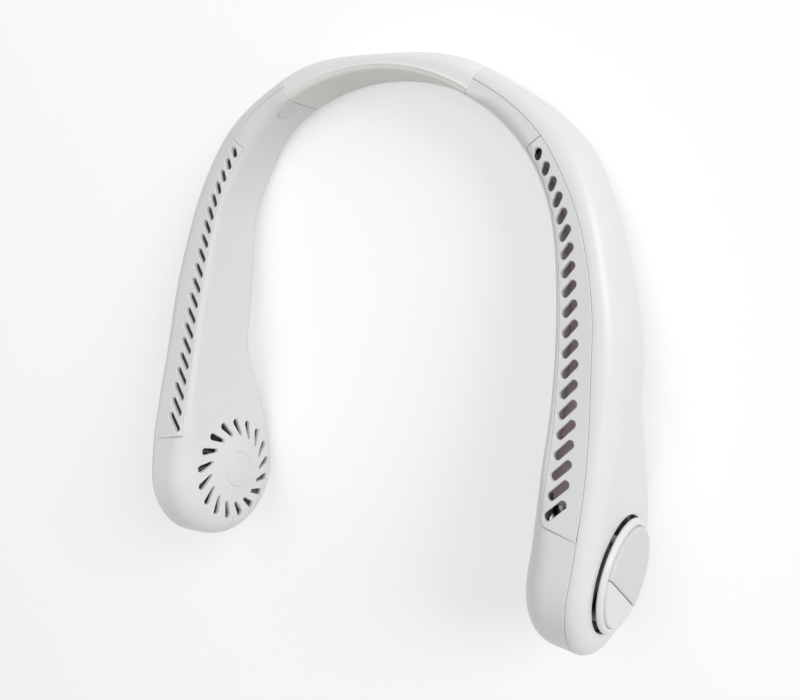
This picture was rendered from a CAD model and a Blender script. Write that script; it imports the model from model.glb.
"""Looks of the wearable neck fan, built in the frame of its CAD model."""
from collections import namedtuple

import bmesh
import bpy
import numpy as np
from mathutils import Matrix, Vector


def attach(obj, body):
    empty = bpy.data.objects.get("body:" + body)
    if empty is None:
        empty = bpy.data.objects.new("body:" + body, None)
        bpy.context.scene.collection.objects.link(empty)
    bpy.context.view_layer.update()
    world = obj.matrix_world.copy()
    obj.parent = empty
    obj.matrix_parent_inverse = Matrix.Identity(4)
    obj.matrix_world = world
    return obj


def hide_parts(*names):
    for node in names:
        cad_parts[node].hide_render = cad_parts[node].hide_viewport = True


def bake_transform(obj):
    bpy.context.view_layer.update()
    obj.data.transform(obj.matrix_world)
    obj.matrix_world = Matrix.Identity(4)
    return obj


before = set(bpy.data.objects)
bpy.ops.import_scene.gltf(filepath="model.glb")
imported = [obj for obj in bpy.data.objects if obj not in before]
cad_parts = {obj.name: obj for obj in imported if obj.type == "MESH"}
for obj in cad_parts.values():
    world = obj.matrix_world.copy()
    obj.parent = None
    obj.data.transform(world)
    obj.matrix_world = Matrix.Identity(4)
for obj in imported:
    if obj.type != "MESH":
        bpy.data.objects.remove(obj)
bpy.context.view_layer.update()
RAD = np.pi / 180

# Sizes of the part's source, in millimetres and degrees
NECK_R, NECK_TURN, JOINT_TURN = 76.8, 30.4, 27.6
SHOULDER_R, SHOULDER_TURN, ARM_R, ARM_TURN, POD_LEAD = 63.6, 50.4, 312, 14.2, 16.8
BAND_T, JOINT_T, SHOULDER_T, ARM_T, POD_T = 6.4, 10.3, 16, 20.4, 21.4
BAND_H, SHOULDER_H, ARM_H, POD_R = 17.4, 22.4, 29.2, 27.1
BAND_RISE, TOP_DIP, POD_RISE = 2.6, 1.8, 1.8
EDGE_R, LOW_EDGE_R, POD_EDGE_R, SOFT_EDGE = 2.2, 3.4, 9.5, 2.4
OUTER_ROUND, BAND_ROUND, POD_ROUND, POD_ROUND_SHARE = 9.5, 6, 6, 0.9
WALL, SEAMS, GAP, PAD_T = 1.6, (5.4, 7.5, 12, 16.4), 0.1, 1.4
SLOTS, SLOT_FIRST, SLOT_LAST, PITCH_SHARE = 20, 3.5, 5, 1.22
SLOT_W, SLOT_SHORT, SLOT_LONG, LEAN_A, LEAN_B, SLOT_IN_A, SLOT_IN_B = 2.6, 3.6, 8.4, 43, 50, 3.8, 7.5
STRIP_A, STRIP_B, STRIP_IN_A, STRIP_IN_B = 27.2, 14.9, 1.5, 3.4
END_SKEW, END_LINE = 1.8, 0.5
DOME_H, DOME_R, SWIRLS, SWIRL_IN, SWIRL_OUT = 2.8, POD_R - 4.5, 17, 13.3, POD_R - 7.1
SWIRL_WA, SWIRL_WB, SWIRL_TURN, CAP_R = 1.4, 2.7, 10, 6.9
HOLE_R, RIM_R, RIM_GAP, RIM_T, PLATE_R, PLATE_STEP = 19.1, 18.2, 0.6, 2, 16.2, 1
CHORD_D, CHORD_TURN, BUTTON_GAP = 5.4, 152, 0.3
SOCKET_L, SOCKET_W, BOARD_L, BOARD_T = 8.9, 3.2, 17, 0.8
PLUG_RUN, SPRING, CABLE_R = 4.6, (0.6, 9), 0.95
SCROLL_EDGE, DUCT_T, CELL_GAP, CELL_L, BOARD_GAP = 5.3, 0.9, 1.5, 34, 5.5
TAB_L, TAB_H, TAB_T = 9.4, 6.4, 0.9
# Heights of the spring strip's and tab's middle and of the cable, as shares of the band's height
MID_SHARE, CABLE_SHARE = 0.6, 0.14
# Shares of the run from the middle to the pod's axis, between which a size changes
SIZES, SEAM_SHARES = (0, 0.2, 0.4, 0.7, 1), (0.19, 0.36, 0.64, 1)
POD_EDGE_FROM, ROUND_FROM, POD_RISE_FROM = 0.81, 0.7, 0.74
DIP_FROM, DIP_SHARE, RISE_FROM, RISE_TO = 0.31, 0.61, 0.1, 0.42
# The corners grow from the joint to this share of its run; lengths of the soft edge's rise and fall
CORNER_TO, SOFT_RISE, SOFT_BEFORE, SOFT_AFTER = 1.6, 10, 5, 30
# Slots between which the pitch grows, and how length and inset grow along the row
PITCH_FROM, PITCH_TO, LENGTH_POWER, INSET_POWER = 4, 10, 0.8, 1.8
# Opening for the strip: how far its cutter stands out at the top and side, and its end line's curve
OPEN_ABOVE, OPEN_SIDE, END_CURVE = 1.2, 3, (0.7, 0.8)
# The band bends between these distances from the middle, on both sides of the hinge
BEND_FROM, BEND_TO, BEND_Z = 13, 31, 20
# Rounded edge of the raised plate and button, as pairs of inset and depth
BEVEL = ((0, 0.8), (0.06, 0.45), (0.2, 0.2), (0.42, 0.05), (0.7, 0))
# The bevel is narrower along the straight edge between plate and button, by this share
STRAIGHT_SHARE = 0.4
# Plate: how far its back lies from the rim's, the button's tilt, and the rings of points on the flat faces
PLATE_BACK, BUTTON_TILT, FACE_RINGS, FACE_SHARES = 0.9, 0.03, (13, 9, 5, 0), (0.85, 0.6, 0.35, 0.15)
# Rim of the outer cover: its radius, its rounded back and front edges, its lip and the seam inside it
RIM_OUT, RIM_BACK, RIM_FRONT, RIM_LIP, PLATE_SEAM = RIM_R + 0.2, (0.6, 0.7), (1.3, 1.2), 0.5, 0.12
RIM_N, PLATE_N = POD_T + RIM_GAP, POD_T + RIM_GAP + RIM_T + PLATE_STEP
# Hub cap: its back, and the seat in the dome with the place where its mouth widens
CAP_BACK_N, CAP_SEAT_R, CAP_SEAT_N, CAP_MOUTH_N, CAP_OPEN_N = -1.55, CAP_R + 0.05, -1.42, -2.2, -5
# Mouth of a grille or air slot, from the outside inwards, as growth and depth in shares of its lip
LIP_SHAPE = ((1, 0), (0.55, 0.12), (0.25, 0.38), (0.06, 0.75), (0, 1.25))
# Mouth of the port, upwards from below the arm, as growth and height over the arm's underside
PORT_SHAPE = ((0.75, -2), (0.45, 0), (0.2, 0.12), (0.06, 0.4), (0, 0.8), (0, 4))
# Mouth of the intake hole, outwards, as radius and height beyond those of hole and face; its cutter's ends
HOLE_SHAPE, HOLE_FROM, HOLE_TO = ((-0.25, -0.75), (-0.2, -0.35), (-0.05, -0.1), (0.2, 0.02)), 14, 30
# How deep a slot's cutter goes, how wide its lip is, and how far it stands out
SWIRL_DEPTH, SWIRL_LIP, SLOT_DEPTH, SLOT_LIP, ABOVE = 3.2, 0.32, 3.0, 0.3, 1.0
# Seam beside the pad: its width, the cover's bevel there as inset and depth, the bead's height and one of its
# five steps, and the inset of the cover's face behind the pad
PAD_SEAM, SEAM_IN, SEAM_N, BEAD_H, BEAD_STEP, COVER_IN = 0.05, 0.12, 0.14, 0.26, 0.2, 2
REST_SHIFT, REST_LIFT = 6.03857, 9.44566

RUN_BEND = NECK_R * NECK_TURN * RAD
RUN_JOINT = NECK_R * JOINT_TURN * RAD
RUN_SHOULDER = RUN_BEND + SHOULDER_R * SHOULDER_TURN * RAD
RUN_ARM = RUN_SHOULDER + ARM_R * ARM_TURN * RAD
RUN_POD = RUN_ARM + POD_LEAD
# Battery, scroll and gaps lie between the pod's axis and the control board's middle
BOARD_RUN = RUN_POD - (POD_R - SCROLL_EDGE) - 2 * DUCT_T - CELL_GAP - CELL_L - BOARD_GAP - BOARD_L / 2
VENT_A, VENT_B = RUN_JOINT + STRIP_A, RUN_POD - STRIP_B
# Width of the small chamfer that a parting line has on each side, and of the open line by the pad
LINE, PAD_LINE = 0.16, 0.2
# Least corner radius of a section, least flat beside the seam, and what the rounded outer edge is deeper by
MIN_CORNER, MIN_FLAT, ROUND_EXTRA = 0.35, 0.05, 0.2
# Degrees over which shading stays smooth, and distances in metres below which points are joined
SMOOTH, ROUND_SMOOTH, JOIN_D, SLIVER_D = 35, 30, 2e-6, 1e-6
# Scale of the mottle and the part of its noise that shows, spread of roughness, and depth of the grain
MOTTLE, MOTTLE_FROM, MOTTLE_TO, ROUGH_SPREAD, BUMP_DEPTH = 60.0, 0.3, 0.7, 0.06, 0.0002
# Steps round the faces of the outer covers
DISC_STEPS = 128


def step_to(s, a, b):
    t = np.clip((s - a) / (b - a), 0, 1)
    return t * t * (3 - 2 * t)


def knots(s, shares, v):
    return v[0] + sum((v[i + 1] - v[i]) * step_to(s, shares[i] * RUN_POD, shares[i + 1] * RUN_POD)
                      for i in range(len(v) - 1))


def thick(s):
    return knots(s, SIZES, (BAND_T, JOINT_T, SHOULDER_T, ARM_T, POD_T))


def seam(s):
    return knots(s, SEAM_SHARES, SEAMS)


def tall(s):
    return knots(s, SIZES, (BAND_H, BAND_H, SHOULDER_H, ARM_H, 2 * POD_R))


def oval(s):
    return knots(s, SIZES, (BAND_ROUND, BAND_ROUND, OUTER_ROUND, OUTER_ROUND, POD_ROUND))


def soft_edge(s):
    """Extra radius of the neck side's top edge between the band and the first slots."""
    return SOFT_EDGE * step_to(s, RUN_JOINT, RUN_JOINT + SOFT_RISE) * (
        1 - step_to(s, VENT_A - SOFT_BEFORE, VENT_A + SOFT_AFTER))


def corner(s, r):
    return (PAD_T + (r - PAD_T) * step_to(s, RUN_JOINT, CORNER_TO * RUN_JOINT)
            + (POD_EDGE_R - r) * step_to(s, POD_EDGE_FROM * RUN_POD, RUN_POD))


def oval_n(s):
    """Depth of the rounded outer edge."""
    return (thick(s) - seam(s)) * (1 + (POD_ROUND_SHARE - 1) * step_to(s, ROUND_FROM * RUN_POD, RUN_POD))


def top_z(s):
    dip = np.sin(np.pi * np.clip((s / RUN_POD - DIP_FROM) / DIP_SHARE, 0, 1))
    return (POD_R - POD_RISE + BAND_RISE * (1 - step_to(s, RISE_FROM * RUN_POD, RISE_TO * RUN_POD))
            - TOP_DIP * dip + POD_RISE * step_to(s, POD_RISE_FROM * RUN_POD, RUN_POD))


def low_z(s):
    return top_z(s) - tall(s)


def arc_to(p, r, run):
    turn = p[2] - run / r / RAD
    return (p[0] + r * (np.sin(p[2] * RAD) - np.sin(turn * RAD)),
            p[1] - r * (np.cos(p[2] * RAD) - np.cos(turn * RAD)), turn)


BEND = arc_to((0, NECK_R, 0), NECK_R, RUN_BEND)
SHOULDER = arc_to(BEND, SHOULDER_R, RUN_SHOULDER - RUN_BEND)
ARM_END = arc_to(SHOULDER, ARM_R, RUN_ARM - RUN_SHOULDER)


def along(s):
    if s <= RUN_BEND:
        return arc_to((0, NECK_R, 0), NECK_R, s)
    if s <= RUN_SHOULDER:
        return arc_to(BEND, SHOULDER_R, s - RUN_BEND)
    if s <= RUN_ARM:
        return arc_to(SHOULDER, ARM_R, s - RUN_SHOULDER)
    h = ARM_END[2] * RAD
    return (ARM_END[0] + (s - RUN_ARM) * np.cos(h), ARM_END[1] + (s - RUN_ARM) * np.sin(h), ARM_END[2])


def at(s, z, n):
    x, y, turn = along(s)
    return (x - n * np.sin(turn * RAD), y + n * np.cos(turn * RAD), z)


REACH = NECK_R + BAND_T / 2 - along(RUN_POD)[1]
REST = np.arctan(low_z(0) / REACH) + np.arcsin(POD_R / np.hypot(REACH, low_z(0)))


def rested(v, lift=True):
    """Points or directions as worn, in millimetres, to the row frame."""
    v = np.array(v, float).reshape(-1, 3)
    c, s = np.cos(REST), np.sin(REST)
    y = v[:, 1] * c + v[:, 2] * s
    z = v[:, 2] * c - v[:, 1] * s
    out = np.stack([v[:, 0], y, z], 1)
    return (out + (0, REST_SHIFT, REST_LIFT)) / 1000 if lift else out


def pod_pt(x, y, n):
    """A point on the pod: x back along the run, y up, n outwards from the neck side."""
    return at(RUN_POD - x, y, n)


# Camera, at the photo's viewing angle; its axes and place were fitted in the frame of the worn fan
LENS, SENSOR, NEAR = 42.249, 36, 0.01
CAM_AXES = ((0.8248, 0.0973, -0.5570), (-0.1198, 0.9928, -0.0040), (0.5526, 0.0700, 0.8305))
CAM_PLACE = (188.33, 8.35, 277.94)


def place_camera():
    cam = bpy.data.objects.new("camera", bpy.data.cameras.new("camera"))
    bpy.context.scene.collection.objects.link(cam)
    cam.data.lens = LENS
    cam.data.sensor_width = SENSOR
    cam.data.clip_start = NEAR
    # The nearest square set of axes to the fitted ones
    u, _, vt = np.linalg.svd(rested(CAM_AXES, False).T)
    square = u @ vt
    place = rested(CAM_PLACE)[0]
    turn = Matrix.Identity(4)
    for i in range(3):
        for j in range(3):
            turn[i][j] = square[i][j]
        turn[i][3] = place[i]
    cam.matrix_world = turn
    bpy.context.scene.camera = cam


place_camera()
bpy.context.scene.view_settings.view_transform = "Standard"


# Materials
def material(name, color, rough, bump, grain, spread, metal=0.0, sheen=0.0):
    """Plain surface with a faint mottle in its colour and a fine grain in its roughness and relief."""
    mat = bpy.data.materials.new(name)
    mat.use_nodes = True
    nt = mat.node_tree
    bsdf = nt.nodes["Principled BSDF"]
    bsdf.inputs["Metallic"].default_value = metal
    bsdf.inputs["Sheen Weight"].default_value = sheen
    tex = nt.nodes.new("ShaderNodeTexCoord")
    soft = nt.nodes.new("ShaderNodeTexNoise")
    soft.inputs["Scale"].default_value = MOTTLE
    soft.inputs["Detail"].default_value = 3
    fine = nt.nodes.new("ShaderNodeTexNoise")
    fine.inputs["Scale"].default_value = grain
    fine.inputs["Detail"].default_value = 2
    nt.links.new(tex.outputs["Object"], soft.inputs["Vector"])
    nt.links.new(tex.outputs["Object"], fine.inputs["Vector"])
    ramp = nt.nodes.new("ShaderNodeValToRGB")
    c = np.array(color)
    ramp.color_ramp.elements[0].position = MOTTLE_FROM
    ramp.color_ramp.elements[1].position = MOTTLE_TO
    ramp.color_ramp.elements[0].color = (*np.clip(c * (1 - spread), 0, 1), 1)
    ramp.color_ramp.elements[1].color = (*np.clip(c * (1 + spread), 0, 1), 1)
    nt.links.new(soft.outputs["Fac"], ramp.inputs["Fac"])
    nt.links.new(ramp.outputs["Color"], bsdf.inputs["Base Color"])
    rr = nt.nodes.new("ShaderNodeMapRange")
    rr.inputs["To Min"].default_value = rough - ROUGH_SPREAD
    rr.inputs["To Max"].default_value = rough + ROUGH_SPREAD
    nt.links.new(fine.outputs["Fac"], rr.inputs["Value"])
    nt.links.new(rr.outputs["Result"], bsdf.inputs["Roughness"])
    b = nt.nodes.new("ShaderNodeBump")
    b.inputs["Strength"].default_value = bump
    b.inputs["Distance"].default_value = BUMP_DEPTH
    nt.links.new(fine.outputs["Fac"], b.inputs["Height"])
    nt.links.new(b.outputs["Normal"], bsdf.inputs["Normal"])
    return mat


MAT = {
    "shell": material("white_plastic", (0.80, 0.805, 0.81), 0.36, bump=0.03, grain=1500, spread=0.006),
    "face": material("disc_plastic", (0.81, 0.81, 0.81), 0.3, bump=0.03, grain=1500, spread=0.006),
    "plate": material("plate_plastic", (0.70, 0.70, 0.705), 0.34, bump=0.03, grain=1500, spread=0.006),
    "band": material("white_silicone", (0.88, 0.88, 0.87), 0.5, bump=0.08, grain=1800, spread=0.01,
                     sheen=0.1),
    "pad": material("warm_silicone", (0.84, 0.83, 0.80), 0.58, bump=0.1, grain=1800, spread=0.015,
                    sheen=0.1),
    "tab": material("tab_rubber", (0.77, 0.775, 0.78), 0.45, bump=0.08, grain=1800, spread=0.008),
    "dark": material("dark_plastic", (0.045, 0.043, 0.048), 0.5, bump=0.1, grain=1200, spread=0.1),
    "mauve": material("mauve_plastic", (0.80, 0.64, 0.68), 0.5, bump=0.1, grain=1200, spread=0.05),
    "wheel": material("wheel_plastic", (0.3, 0.25, 0.265), 0.45, bump=0.1, grain=1200, spread=0.08),
    "steel": material("steel", (0.56, 0.56, 0.58), 0.3, bump=0.05, grain=2500, spread=0.03, metal=1.0),
    "magnet": material("magnet", (0.09, 0.09, 0.1), 0.45, bump=0.1, grain=1500, spread=0.1, metal=0.6),
    "bronze": material("bronze", (0.55, 0.38, 0.2), 0.4, bump=0.15, grain=3000, spread=0.06, metal=1.0),
    "copper": material("copper", (0.6, 0.26, 0.12), 0.33, bump=0.3, grain=2200, spread=0.08, metal=1.0),
    "board": material("board", (0.03, 0.16, 0.075), 0.4, bump=0.1, grain=1500, spread=0.15),
    "rubber": material("black_rubber", (0.025, 0.025, 0.028), 0.6, bump=0.15, grain=1800, spread=0.1),
    "cell": material("cell_foil", (0.42, 0.44, 0.47), 0.38, bump=0.15, grain=900, spread=0.05, metal=0.7),
}


# Mesh helpers
def new_object(name, verts, faces, mat, right=False, smooth=SMOOTH):
    """A mesh from points as worn; the right side's is mirrored."""
    v = np.array(verts, float).reshape(-1, 3).copy()
    if right:
        v[:, 0] *= -1
        faces = [tuple(reversed(f)) for f in faces]
    me = bpy.data.meshes.new(name)
    me.from_pydata(rested(v).tolist(), [], [tuple(int(i) for i in f) for f in faces])
    me.materials.append(MAT[mat])
    ob = bpy.data.objects.new(name, me)
    bpy.context.scene.collection.objects.link(ob)
    tidy(ob, smooth)
    return ob


def tidy(ob, smooth):
    bm = bmesh.new()
    bm.from_mesh(ob.data)
    bmesh.ops.remove_doubles(bm, verts=bm.verts, dist=JOIN_D)
    bmesh.ops.dissolve_degenerate(bm, edges=bm.edges, dist=SLIVER_D)
    bmesh.ops.recalc_face_normals(bm, faces=bm.faces)
    if bm.calc_volume(signed=True) < 0:
        bmesh.ops.reverse_faces(bm, faces=bm.faces)
    bm.to_mesh(ob.data)
    bm.free()
    ob.data.shade_smooth()
    ob.data.set_sharp_from_angle(angle=smooth * RAD)


def loft(name, rings, mat, right=False, smooth=SMOOTH, closed=False):
    """A solid through rings of points, with end caps unless the row of rings closes on itself."""
    m, k = len(rings[0]), len(rings)
    verts = [p for r in rings for p in r]
    faces = []
    for i in range(k if closed else k - 1):
        n = (i + 1) % k
        for j in range(m):
            q = (j + 1) % m
            faces.append((i * m + j, i * m + q, n * m + q, n * m + j))
    if not closed:
        faces += [tuple(range(m - 1, -1, -1)), tuple((k - 1) * m + j for j in range(m))]
    return new_object(name, verts, faces, mat, right, smooth)


def cut(ob, cutters):
    """Takes the cutters, none of which meets another, from an object; all become triangles first."""
    tool = bpy.data.objects.new("cutter", bpy.data.meshes.new("cutter"))
    bpy.context.scene.collection.objects.link(tool)
    for target, sources in ((tool, cutters), (ob, [ob])):
        bm = bmesh.new()
        for c in sources:
            bm.from_mesh(c.data)
        bmesh.ops.triangulate(bm, faces=bm.faces)
        bm.to_mesh(target.data)
        bm.free()
    for c in cutters:
        bpy.data.objects.remove(c)
    mod = ob.modifiers.new("cut", "BOOLEAN")
    mod.object = tool
    mod.operation = "DIFFERENCE"
    mod.solver = "EXACT"
    # The second setting is slower and is there for a cut that the first one leaves open
    tries = []
    for own in (False, True):
        mod.use_self = own
        dg = bpy.context.evaluated_depsgraph_get()
        me = bpy.data.meshes.new_from_object(ob.evaluated_get(dg))
        bm = bmesh.new()
        bm.from_mesh(me)
        bmesh.ops.remove_doubles(bm, verts=bm.verts, dist=SLIVER_D)
        tries.append((sum(not e.is_manifold for e in bm.edges), len(tries), me))
        bm.to_mesh(me)
        bm.free()
        if tries[-1][0] == 0:
            break
    ob.modifiers.clear()
    ob.data = min(tries)[2]
    bpy.data.objects.remove(tool)
    ob.data.shade_smooth()
    ob.data.set_sharp_from_angle(angle=SMOOTH * RAD)


# Where a section lies: its top and bottom point, the directions inwards from them, and its sizes
Station = namedtuple("Station", "top low top_in low_in thick seam oval top_r low_r depth",
                     defaults=(0, 0, 0))


def flat_station(s):
    return Station((s, top_z(s)), (s, low_z(s)), (0, -1), (0, 1), thick(s), seam(s), oval(s),
                   corner(s, EDGE_R) + soft_edge(s), corner(s, LOW_EDGE_R), oval_n(s))


def round_station(a):
    c, s = np.cos(a * RAD), np.sin(a * RAD)
    x, y = RUN_POD + POD_R * c, POD_R * s
    return Station((x, y), (x, -y), (-c, -s), (-c, s), POD_T, SEAMS[3], POD_ROUND, POD_EDGE_R, POD_EDGE_R,
                   oval_n(RUN_POD))


def edge(b, low, d, n):
    """A point of a section: d inwards from its top (low 0) or bottom (1), and n from the neck side."""
    return (b[low][0] + b[2 + low][0] * d, b[low][1] + b[2 + low][1] * d, n)


# Steps are finer on the last 28 mm before the pod's axis
FINE_RUN = 28
ARM_RUNS = (np.linspace(RUN_JOINT + 0.02, RUN_POD - FINE_RUN, 92, endpoint=False),
            np.linspace(RUN_POD - FINE_RUN, RUN_POD, 36))
POD_TURNS = (np.linspace(88, 30, 24), np.linspace(28, 0.4, 12))
ARM_STATIONS = [flat_station(s) for s in np.concatenate(ARM_RUNS)]
ARM_STATIONS += [round_station(a) for a in np.concatenate(POD_TURNS)]
# Turns of a corner and of the outer edge, and points across the neck side
TURN_C = [np.radians(t) for t in np.linspace(0, 90, 12)]
TURN_O = [np.radians(t) for t in np.linspace(0, 90, 15)]
ACROSS = 62


def across(a, c, count):
    """Points in even steps from one to another."""
    a, c = np.array(a), np.array(c)
    return [tuple(a + (c - a) * k) for k in np.linspace(0, 1, count)]


def bump(r):
    """Height of the pod's dome at a distance from its axis."""
    return DOME_H * (1 + np.cos(np.pi * np.minimum(r, DOME_R) / DOME_R)) / 2


def dome_n(r):
    """The pod's neck side at a distance from its axis."""
    skin = POD_EDGE_R - np.sqrt(POD_EDGE_R ** 2 - np.maximum(0, r - POD_R + POD_EDGE_R) ** 2)
    return float(skin - bump(r))


def neck_path(b, inset, seam_n):
    """Section of the neck side shell from its top seam round to its bottom seam."""
    ri, rb = max(b.top_r - inset, MIN_CORNER), max(b.low_r - inset, MIN_CORNER)
    side = [edge(b, 0, inset + ri * (1 - np.cos(t)), inset + ri * (1 - np.sin(t))) for t in TURN_C]
    side += across(edge(b, 0, inset + ri, inset), edge(b, 1, inset + rb, inset), ACROSS)[1:-1]
    side += [edge(b, 1, inset + rb * (1 - np.sin(t)), inset + rb * (1 - np.cos(t))) for t in TURN_C]
    pts = [edge(b, 0, inset, n) for n in np.linspace(seam_n, ri + inset, 9)[:-1]]
    pts += [(x, y, n - float(bump(np.hypot(x - RUN_POD, y)))) for x, y, n in side]
    pts += [edge(b, 1, inset, n) for n in np.linspace(rb + inset, seam_n, 9)[1:]]
    return pts


def outer_path(b, inset, seam_n):
    """Section of the outer shell from its top seam round to its bottom seam."""
    w = b.thick - inset
    ro = b.oval - inset / 2
    e = b.depth - GAP + ROUND_EXTRA - inset / 2
    start = max(w - e, seam_n + MIN_FLAT)
    e = w - start
    pts = [edge(b, 0, inset, seam_n), edge(b, 0, inset, (seam_n + start) / 2)]
    pts += [edge(b, 0, inset + ro * (1 - np.cos(t)), w - e * (1 - np.sin(t))) for t in TURN_O]
    pts += across(edge(b, 0, inset + ro, w), edge(b, 1, inset + ro, w), 20)[1:-1]
    pts += [edge(b, 1, inset + ro * (1 - np.cos(t)), w - e * (1 - np.sin(t))) for t in TURN_O[::-1]]
    pts += [edge(b, 1, inset, (seam_n + start) / 2), edge(b, 1, inset, seam_n)]
    return pts


def shell_ring(path, seam_n, sign, b, shrink=0, shift=0):
    """A shell's outside and, backwards, its inside, chamfered by the seam; sign is its side of it."""
    outside = path(b, shrink, seam_n - sign * LINE)
    inside = path(b, WALL, seam_n)
    top, low = edge(b, 0, LINE + shrink, seam_n), edge(b, 1, LINE + shrink, seam_n)
    return [at(x + shift, y, n) for x, y, n in [*outside, low, *inside[::-1], top]]


def shell_rings(path, gap, sign):
    """Rings of a shell from the band to the pod's tip, with a chamfer at the end by the band."""
    end = ARM_STATIONS[0]
    rings = [shell_ring(path, end.seam + gap, sign, end, shrink=LINE)]
    rings.append(shell_ring(path, end.seam + gap, sign, end, shift=LINE))
    rings += [shell_ring(path, b.seam + gap, sign, b) for b in ARM_STATIONS[1:]]
    return rings


# Cutters, all with a flared mouth that leaves a small rounded lip
def outline_offset(pts, d):
    """An outline moved outwards by d."""
    p = np.array(pts, float)
    t = np.roll(p, -1, 0) - np.roll(p, 1, 0)
    t /= np.linalg.norm(t, axis=1)[:, None]
    return p + d * np.stack([t[:, 1], -t[:, 0]], 1)


def capsule(a, b, ra, rb, k=14):
    """Outline round two circles, anticlockwise."""
    a, b = np.array(a, float), np.array(b, float)
    v = (b - a) / np.linalg.norm(b - a)
    lean = np.arcsin((rb - ra) / np.linalg.norm(b - a))
    base = np.arctan2(v[1], v[0])
    pts = []
    tilt = lean / RAD
    for c, r, a0, a1 in ((b, rb, -90 - tilt, 90 + tilt), (a, ra, 90 + tilt, 270 - tilt)):
        for t in np.linspace(a0, a1, k) * RAD:
            pts.append(c + r * np.array([np.cos(base + t), np.sin(base + t)]))
    return np.array(pts)


def flared(outline, surface, point, depth, lip, right):
    """Cutter through a surface at height surface(x, y); point(x, y, h) is a place and h grows inwards."""
    heights = [surface(x, y) for x, y in outline]
    rings = [[point(x, y, min(heights) - ABOVE) for x, y in outline_offset(outline, lip)]]
    for wide, deep in LIP_SHAPE:
        pts = outline_offset(outline, lip * wide)
        rings.append([point(x, y, surface(x, y) + lip * deep) for x, y in pts])
    rings.append([point(x, y, max(heights) + depth) for x, y in outline])
    return loft("cutter", rings, "shell", right)


def port_cutter():
    """Cutter of the charging port's mouth, from below, with the board's plane as its own."""
    x0, y0, turn = along(BOARD_RUN)
    c, s = np.cos(turn * RAD), np.sin(turn * RAD)
    half, r = (SOCKET_L - SOCKET_W) / 2, SOCKET_W / 2 + GAP
    mid, n0 = -BOARD_L / 4, PAD_T + WALL + BOARD_T + SOCKET_W / 2 + 2 * GAP
    rings = []
    for grow, h in PORT_SHAPE:
        o = capsule((mid - half, n0), (mid + half, n0), r + grow, r + grow)
        rings.append([(x0 - x * c - n * s, y0 - x * s + n * c, low_z(BOARD_RUN - x) + h) for x, n in o])
    return loft("cutter", rings, "shell")


def swirl_cutters(right):
    """Cutters of the grille's slots, which lean round the pod's axis."""
    ra, rb = SWIRL_WA / 2, SWIRL_WB / 2
    out = []
    for i in range(SWIRLS):
        q = (i * 360 / SWIRLS - SWIRL_TURN) * RAD
        p = i * 360 / SWIRLS * RAD
        o = capsule(((SWIRL_IN + ra) * np.cos(q), (SWIRL_IN + ra) * np.sin(q)),
                    ((SWIRL_OUT - rb) * np.cos(p), (SWIRL_OUT - rb) * np.sin(p)), ra, rb)
        out.append(flared(o, lambda x, y: dome_n(np.hypot(x, y)), pod_pt, SWIRL_DEPTH, SWIRL_LIP, right))
    return out


def revolved(name, profile, mat, right=False, steps=96):
    """A ring or disc round the pod's axis from its closed profile of (radius, n)."""
    rings = []
    for i in range(steps):
        t = 2 * np.pi * i / steps
        rings.append([pod_pt(r * np.cos(t), r * np.sin(t), n) for r, n in profile])
    return loft(name, rings, mat, right, ROUND_SMOOTH, closed=True)


def fillet(r0, n0, r1, n1, quarter, k=5):
    """Quarter of an ellipse between two points of a profile; quarter 0 leaves along the radius."""
    out = []
    for t in np.linspace(0, np.pi / 2, k):
        a, b = np.sin(t), 1 - np.cos(t)
        if quarter:
            a, b = b, a
        out.append((r0 + (r1 - r0) * a, n0 + (n1 - n0) * b))
    return out


def strip_corner(b, n):
    """How far the rounded top lies below the section's top, n from the neck side."""
    r = b.top_r
    return r - np.sqrt(max(r * r - (r - n) ** 2, 0)) if n < r else 0


def strip_n(s):
    """Distance of the vent strip's edge from the neck side."""
    return STRIP_IN_A + (STRIP_IN_B - STRIP_IN_A) * np.clip((s - VENT_A) / (VENT_B - VENT_A), 0, 1) ** 3


def skewed(s, share):
    """Run of a point across the strip: its pod end leans, so that the outer side reaches further."""
    return s + END_SKEW * share * step_to(s, VENT_B - 4 * END_SKEW, VENT_B)


def vent_zone(right):
    """Cutter that opens the neck side shell for the vent strip."""
    g = GAP
    rows = [(-OPEN_ABOVE, g + LINE, g + END_LINE), (0, g + LINE, g + END_LINE),
            (LINE, g, g + END_CURVE[0] * END_LINE), (END_CURVE[1] * END_LINE, g, g), (WALL + 1, g, g)]
    runs = np.linspace(VENT_A, VENT_B, 80)
    verts, faces = [], []
    m = len(runs)
    for d, grow, end in rows:
        for side in (0, 1):
            for s in runs:
                e = -grow if s == runs[0] else end if s == runs[-1] else 0
                b = flat_station(skewed(s, side) + e)
                n = strip_n(s) - grow if side == 0 else b.seam + OPEN_SIDE
                verts.append(at(*edge(b, 0, d + strip_corner(b, max(n, 0)), n)))
    for k in range(len(rows) - 1):
        for side in (0, 1):
            o, o2 = (2 * k + side) * m, (2 * k + 2 + side) * m
            for i in range(m - 1):
                f = (o + i, o + i + 1, o2 + i + 1, o2 + i)
                faces.append(f if side == 0 else f[::-1])
        for i in (0, m - 1):
            o, p = 2 * k * m + i, (2 * k + 1) * m + i
            f = (o, p, p + 2 * m, o + 2 * m)
            faces.append(f[::-1] if i == 0 else f)
    last = 2 * (len(rows) - 1) * m
    for i in range(m - 1):
        faces.append((i, m + i, m + i + 1, i + 1))
        faces.append((last + i, last + i + 1, last + m + i + 1, last + m + i))
    return new_object("cutter", verts, faces, "shell", right)


def slot_runs():
    """Runs of the air slots: the pitch grows from the first ones to the last ones."""
    p = np.cumsum([0] + [1 + (PITCH_SHARE - 1) * step_to(i, PITCH_FROM, PITCH_TO) for i in range(1, SLOTS)])
    return VENT_A + SLOT_FIRST + (VENT_B - SLOT_LAST - VENT_A - SLOT_FIRST) * p / p[-1]


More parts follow.
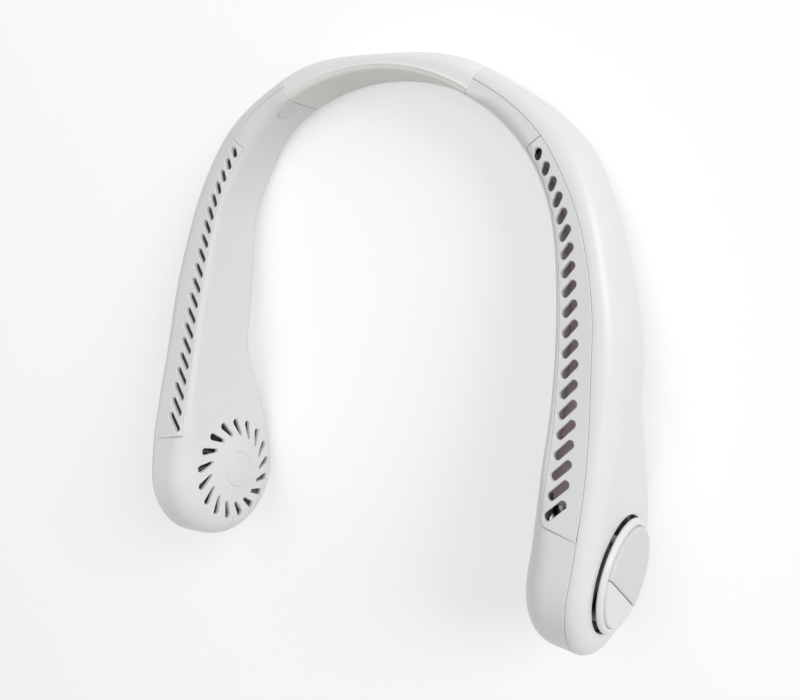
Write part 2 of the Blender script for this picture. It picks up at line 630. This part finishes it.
def strip_pt(s, h, n):
    """A point h under the strip's rounded top and n from the neck side."""
    return at(s, top_z(s) - h - strip_corner(flat_station(s), n), n)


def slot_cutters(right):
    """Cutters of the air slots, which grow and lean more towards the pod."""
    out = []
    for i, s in enumerate(slot_runs()):
        share = i / (SLOTS - 1)
        half = (SLOT_SHORT + (SLOT_LONG - SLOT_SHORT) * share ** LENGTH_POWER - SLOT_W) / 2
        mid = SLOT_IN_A + (SLOT_IN_B - SLOT_IN_A) * share ** INSET_POWER
        a = (LEAN_A + (LEAN_B - LEAN_A) * share) * RAD
        v = np.array([np.sin(a), np.cos(a)]) * half
        o = capsule(-v, v, SLOT_W / 2, SLOT_W / 2)
        out.append(flared(o, lambda x, y: 0.0, lambda x, y, h: strip_pt(s - x, h, mid + y),
                          SLOT_DEPTH, SLOT_LIP, right))
    return out


def tab_outline(g):
    """Outline of the screw cover, grown by g: straight towards the band and round towards the pod."""
    r, x0, x1 = TAB_H / 2, TAB_H / 2 - TAB_L / 2, TAB_L / 2
    turns = np.linspace(np.pi / 2, 3 * np.pi / 2, 20)
    pts = [(x0 + (r + g) * np.cos(t), (r + g) * np.sin(t)) for t in turns]
    pts += [(x, -r - g) for x in np.linspace(x0, x1 + g, 8)[1:]]
    pts += [(x, r + g) for x in np.linspace(x1 + g, x0, 8)[:-1]]
    return pts


TAB_RUN = RUN_JOINT + GAP + TAB_L / 2
MID_Z = low_z(0) + BAND_H * MID_SHARE


def tab_rings(rows):
    return [[at(TAB_RUN - x, MID_Z + y, n) for x, y in tab_outline(g)] for g, n in rows]


# Pieces of an arm
def neck_shell(side, right):
    """Neck side shell with its grille, the strip's opening, the seats of cap and cover, and the port."""
    shell = loft(side + "_neck_side_shell", shell_rings(neck_path, 0, 1), "shell", right)
    cap = [(0.0, CAP_OPEN_N), (CAP_SEAT_R + LINE, CAP_OPEN_N), (CAP_SEAT_R + LINE, CAP_MOUTH_N),
           (CAP_SEAT_R, dome_n(CAP_R) + LINE), (CAP_SEAT_R, CAP_SEAT_N), (0.0, CAP_SEAT_N)]
    wide = GAP / 2 + LINE
    seat = tab_rings([(wide, -1), (wide, 0), (GAP / 2, LINE), (GAP / 2, TAB_T + GAP)])
    cutters = [vent_zone(right), *swirl_cutters(right)]
    cutters.append(revolved("cutter", cap, "shell", right))
    cutters.append(loft("cutter", seat, "shell", right))
    if not right:
        cutters.append(port_cutter())
    cut(shell, cutters)
    return shell


def outer_shell(side, right):
    """Outer shell with its intake hole."""
    shell = loft(side + "_outer_side_shell", shell_rings(outer_path, GAP, -1), "shell", right)
    mouth = [(HOLE_R + dr, POD_T + dn) for dr, dn in HOLE_SHAPE]
    hole = [(0.0, HOLE_FROM), (mouth[0][0], HOLE_FROM), *mouth, (mouth[-1][0], HOLE_TO), (0.0, HOLE_TO)]
    cut(shell, [revolved("cutter", hole, "shell", right)])
    return shell


def vent_strip(side, right):
    """Strip with the air slots, set into the neck side shell's top edge."""
    runs = np.concatenate([[VENT_A, VENT_A + LINE], np.linspace(VENT_A + 1, VENT_B - 1, 110),
                           [VENT_B - LINE, VENT_B]])
    rings = []
    for i, s in enumerate(runs):
        b = flat_station(s)
        d = LINE if i in (0, len(runs) - 1) else 0
        n0, n1 = strip_n(s), b.seam
        top = [(strip_corner(b, n) + d, n) for n in np.linspace(n0 + LINE, n1 - LINE, 14)]
        low = [(WALL, n) for n in np.linspace(n1, n0, 14)]
        ring = []
        for deep, n in [(strip_corner(b, n0) + LINE, n0), *top, (LINE, n1), *low]:
            ring.append(edge(flat_station(skewed(s, (n - n0) / (n1 - n0))), 0, deep, n))
        rings.append([at(*p) for p in ring])
    strip = loft(side + "_air_slot_strip", rings, "shell", right)
    cut(strip, slot_cutters(right))
    return strip


def hub_cap(side, right):
    """Cap in the middle of the grille, flush in the dome."""
    profile = [(r, dome_n(r)) for r in np.linspace(0, CAP_R - LINE, 10)]
    profile += [(CAP_R, dome_n(CAP_R) + LINE), (CAP_R, CAP_BACK_N), (0, CAP_BACK_N)]
    return revolved(side + "_grille_hub_cap", profile, "shell", right)


def screw_cover(side, right):
    """Small cover over the screw by the band."""
    rings = tab_rings([(-GAP / 2 - LINE, 0), (-GAP / 2, LINE), (-GAP / 2, TAB_T)])
    return loft(side + "_screw_cover_tab", rings, "tab", right)


def cover_flange(side, right):
    """Rounded flange ring of the round outer cover."""
    top, lip_r = RIM_N + RIM_T, PLATE_R + PLATE_SEAM + RIM_LIP
    profile = fillet(RIM_R - RIM_BACK[0], RIM_N, RIM_OUT, RIM_N + RIM_BACK[1], 0)
    profile += fillet(RIM_OUT, top - RIM_FRONT[1], RIM_R - RIM_FRONT[0], top, 1)
    profile += fillet(lip_r, top, PLATE_R + PLATE_SEAM, top - RIM_LIP, 0)
    profile.append((PLATE_R + PLATE_SEAM, RIM_N))
    return revolved(side + "_cover_flange", profile, "face", right, DISC_STEPS)


def disc_outline(keep, off):
    """Outline of the plate (keep -1) or of the button past its straight edge (keep 1), less off."""
    axis = np.array([np.cos(CHORD_TURN * RAD), np.sin(CHORD_TURN * RAD)])
    along_edge = np.array([-axis[1], axis[0]])
    r = PLATE_R - off
    a0 = np.arccos((CHORD_D + keep * (BUTTON_GAP / 2 + STRAIGHT_SHARE * off)) / r)
    arc = np.linspace(-a0, a0, 60) if keep > 0 else np.linspace(a0, 2 * np.pi - a0, 120)
    pts = [r * (np.cos(t) * axis + np.sin(t) * along_edge) for t in arc]
    e, f = pts[-1], pts[0]
    return np.array(pts + [e + (f - e) * k for k in np.linspace(0, 1, 24)[1:-1]])


def disc_part(name, keep, tilt, mat):
    """Plate or button of the left disc, whose face falls away from the straight edge by a tilt."""
    axis = np.array([np.cos(CHORD_TURN * RAD), np.sin(CHORD_TURN * RAD)])
    back = RIM_N + PLATE_BACK
    rows = [(0, back)] + [(off, PLATE_N - deep) for off, deep in BEVEL]
    rings = [(disc_outline(keep, off), n) for off, n in rows]
    last = rings[-1][0]
    rings += [(last.mean(0) + (last - last.mean(0)) * k, PLATE_N) for k in FACE_SHARES]
    out = []
    for pts, n in rings:
        slope = tilt if n > back else 0
        away = [max(0, keep * (x * axis[0] + y * axis[1] - CHORD_D)) for x, y in pts]
        out.append([pod_pt(x, y, n - slope * d) for (x, y), d in zip(pts, away)])
    return loft(name, out, mat)


def round_plate():
    """Raised plate of the right disc, which has no button."""
    back = RIM_N + PLATE_BACK
    profile = [(0.0, back), (PLATE_R, back)] + [(PLATE_R - off, PLATE_N - deep) for off, deep in BEVEL]
    profile += [(r, PLATE_N) for r in FACE_RINGS]
    return revolved("right_disc_plate", profile, "plate", True, DISC_STEPS)


def add(ob, node, on):
    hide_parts(node)
    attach(ob, on)


def build_arm(side):
    right = side == "right"
    body = side + "_arm"
    add(neck_shell(side, right), side + "_inner_shell", body)
    add(outer_shell(side, right), side + "_outer_shell", body)
    add(vent_strip(side, right), side + "_vent_strip", body)
    add(hub_cap(side, right), side + "_hub_cap", body)
    add(screw_cover(side, right), side + "_screw_cover", body)
    add(cover_flange(side, right), side + "_cover_rim", body)
    if right:
        add(round_plate(), "right_centre_plate", body)
    else:
        add(disc_part("left_disc_plate", -1, 0, "plate"), "left_centre_plate", body)
        add(disc_part("button_segment", 1, BUTTON_TILT, "face"), "power_button", "power_button")


for one in ("left", "right"):
    build_arm(one)


# Band: cover and pad, each in two halves that bend between the middle and an arm
def band_station(q):
    return Station((q, top_z(q)), (q, low_z(q)), (0, -1), (0, 1), thick(q), thick(q) * SEAMS[0] / JOINT_T,
                   oval(q))


def cover_section(b, shrink):
    w, ro, e = b.thick - shrink, b.oval - shrink, b.thick - b.seam
    n0 = PAD_T + PAD_SEAM
    n1 = n0 + SEAM_N
    bead_end = n1 + 5 * BEAD_STEP
    pts = [edge(b, 0, shrink + SEAM_IN, n0), edge(b, 0, shrink, n1)]
    pts += [edge(b, 0, shrink - BEAD_H * np.sin(np.pi * k / 5), n1 + BEAD_STEP * k) for k in range(1, 6)]
    pts += [edge(b, 0, shrink, n) for n in np.linspace(bead_end, w - e, 6)[1:-1]]
    pts += [edge(b, 0, shrink + ro * (1 - np.cos(t)), w - e * (1 - np.sin(t))) for t in TURN_O]
    pts += across(edge(b, 0, shrink + ro, w), edge(b, 1, shrink + ro, w), 10)[1:-1]
    pts += [edge(b, 1, shrink + ro * (1 - np.cos(t)), w - e * (1 - np.sin(t))) for t in TURN_O[::-1]]
    pts += [edge(b, 1, shrink, n) for n in np.linspace(w - e, n1, 6)[1:-1]]
    pts += [edge(b, 1, shrink, n1), edge(b, 1, shrink + SEAM_IN, n0)]
    pts += across(edge(b, 1, COVER_IN, n0), edge(b, 0, COVER_IN, n0), 6)
    return [at(*p) for p in pts]


def pad_section(b, shrink):
    r = PAD_T - shrink
    pts = [edge(b, 0, PAD_T - r * np.sin(t), PAD_T - r * np.cos(t)) for t in TURN_C]
    pts += [edge(b, 1, PAD_T - r * np.sin(t), PAD_T - r * np.cos(t)) for t in TURN_C[::-1]]
    pts += across(edge(b, 1, PAD_T, PAD_T - r), edge(b, 0, PAD_T, PAD_T - r), 12)[1:-1]
    return [at(*p) for p in pts]


def strip_section(q):
    n = PAD_T + GAP / 2
    t, h = SPRING
    return [at(q, MID_Z + y * h / 2, n + x * t) for x, y in ((0, -1), (0, 1), (1, 1), (1, -1))]


def cable_section(q):
    n, z = max(PAD_T, WALL) + GAP + CABLE_R, low_z(0) + CABLE_SHARE * BAND_H
    turns = np.linspace(0, 2 * np.pi, 24, endpoint=False)
    return [at(q, z + CABLE_R * np.sin(t), n + CABLE_R * np.cos(t)) for t in turns]


def build_band(side):
    right = side == "right"
    s = np.linspace(0, RUN_JOINT - LINE, 46)
    at0, at1 = rested([(BEND_FROM, NECK_R, BEND_Z), (BEND_TO, NECK_R, BEND_Z)])
    if right:
        at0[0], at1[0] = -at0[0], -at1[0]
    at1[1], at1[2] = at0[1], at0[2]
    pieces = []
    for name, section, node, mat, slot_name in (
            ("neckband_cover", cover_section, "band_cover", "band", "band_silicone"),
            ("neckband_pad", pad_section, "band_pad", "pad", "pad_silicone")):
        less = PAD_LINE if node == "band_pad" else 0
        rings = [section(band_station(q * (1 - less / RUN_JOINT)), 0) for q in s]
        rings.append(section(band_station(RUN_JOINT - less), LINE))
        pieces.append((loft(side + "_" + name, rings, mat, right), node, slot_name))
    # Inside it: the spring strip and the cable, which goes on into the arm
    rings = [strip_section(q) for q in np.linspace(0, RUN_JOINT - PLUG_RUN - GAP, 40)]
    pieces.append((loft(side + "_spring_strip", rings, "steel", right), "band_spring_strip", "steel"))
    rings = [cable_section(q) for q in np.linspace(0, BOARD_RUN - BOARD_L / 4, 150)]
    pieces.append((loft(side + "_band_cable", rings, "rubber", right), "band_cable", "cable_rubber"))
    for ob, node, slot_name in pieces:
        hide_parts(node)
        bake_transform(ob)


for one in ("left", "right"):
    build_band(one)

# CAD nodes that stay, with their materials
KEEP = {
    "end_plug": "dark", "shell_screw": "steel", "cover_carrier": "shell", "fan_wheel": "wheel",
    "magnet_ring": "magnet", "fan_shaft": "steel", "fan_bearing": "bronze", "motor_core": "steel",
    "motor_coils": "copper", "motor_base": "wheel", "motor_board": "board", "motor_screws": "steel",
    "motor_leads": "rubber", "air_guide": "mauve", "battery": "cell", "power_switch": "dark",
    "control_board": "board", "charging_socket": "steel",
}
for node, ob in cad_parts.items():
    base = node.removeprefix("left_").removeprefix("right_")
    if base in KEEP:
        ob.data.materials.clear()
        ob.data.materials.append(MAT[KEEP[base]])

# Floor and light
FLOOR_HALF, FLOOR_Z, FLOOR_GREY, FLOOR_GLOW = 6, -0.0002, 0.86, 0.3


def floor_material():
    """Matt light grey, which glows a little where the camera or a shiny surface sees it."""
    mat = bpy.data.materials.new("floor")
    mat.use_nodes = True
    nt = mat.node_tree
    bsdf = nt.nodes["Principled BSDF"]
    bsdf.inputs["Base Color"].default_value = (FLOOR_GREY, FLOOR_GREY, FLOOR_GREY, 1)
    bsdf.inputs["Roughness"].default_value = 0.9
    bsdf.inputs["Specular IOR Level"].default_value = 0.1
    glow = nt.nodes.new("ShaderNodeEmission")
    ray = nt.nodes.new("ShaderNodeLightPath")
    both = nt.nodes.new("ShaderNodeMath")
    both.operation = "MAXIMUM"
    nt.links.new(ray.outputs["Is Camera Ray"], both.inputs[0])
    nt.links.new(ray.outputs["Is Glossy Ray"], both.inputs[1])
    amount = nt.nodes.new("ShaderNodeMath")
    amount.operation = "MULTIPLY"
    amount.inputs[1].default_value = FLOOR_GLOW
    nt.links.new(both.outputs[0], amount.inputs[0])
    nt.links.new(amount.outputs[0], glow.inputs["Strength"])
    total = nt.nodes.new("ShaderNodeAddShader")
    nt.links.new(bsdf.outputs[0], total.inputs[0])
    nt.links.new(glow.outputs[0], total.inputs[1])
    nt.links.new(total.outputs[0], nt.nodes["Material Output"].inputs["Surface"])
    return mat


def build_floor():
    me = bpy.data.meshes.new("floor")
    corners = [(x * FLOOR_HALF, y * FLOOR_HALF, FLOOR_Z) for x, y in ((-1, -1), (1, -1), (1, 1), (-1, 1))]
    me.from_pydata(corners, [], [(0, 1, 2, 3)])
    me.materials.append(floor_material())
    floor = bpy.data.objects.new("floor", me)
    bpy.context.scene.collection.objects.link(floor)


build_floor()
world = bpy.data.worlds.new("studio")
bpy.context.scene.world = world
world.use_nodes = True
world.node_tree.nodes["Background"].inputs["Color"].default_value = (1, 1, 1, 1)
world.node_tree.nodes["Background"].inputs["Strength"].default_value = 0.5


def lamp(name, place, target, size, power):
    light = bpy.data.lights.new(name, "AREA")
    light.shape = "SQUARE"
    light.size = size
    light.energy = power
    ob = bpy.data.objects.new(name, light)
    bpy.context.scene.collection.objects.link(ob)
    ob.location = place
    d = np.array(target, float) - np.array(place, float)
    ob.rotation_euler = Vector(d).to_track_quat("-Z", "Y").to_euler()


lamp("key", (2.35, 1.38, 1.25), (0, 0, 0.03), 1.3, 39)
lamp("fill", (0.1, 0.4, 1.1), (0, 0, 0.03), 0.8, 1.5)
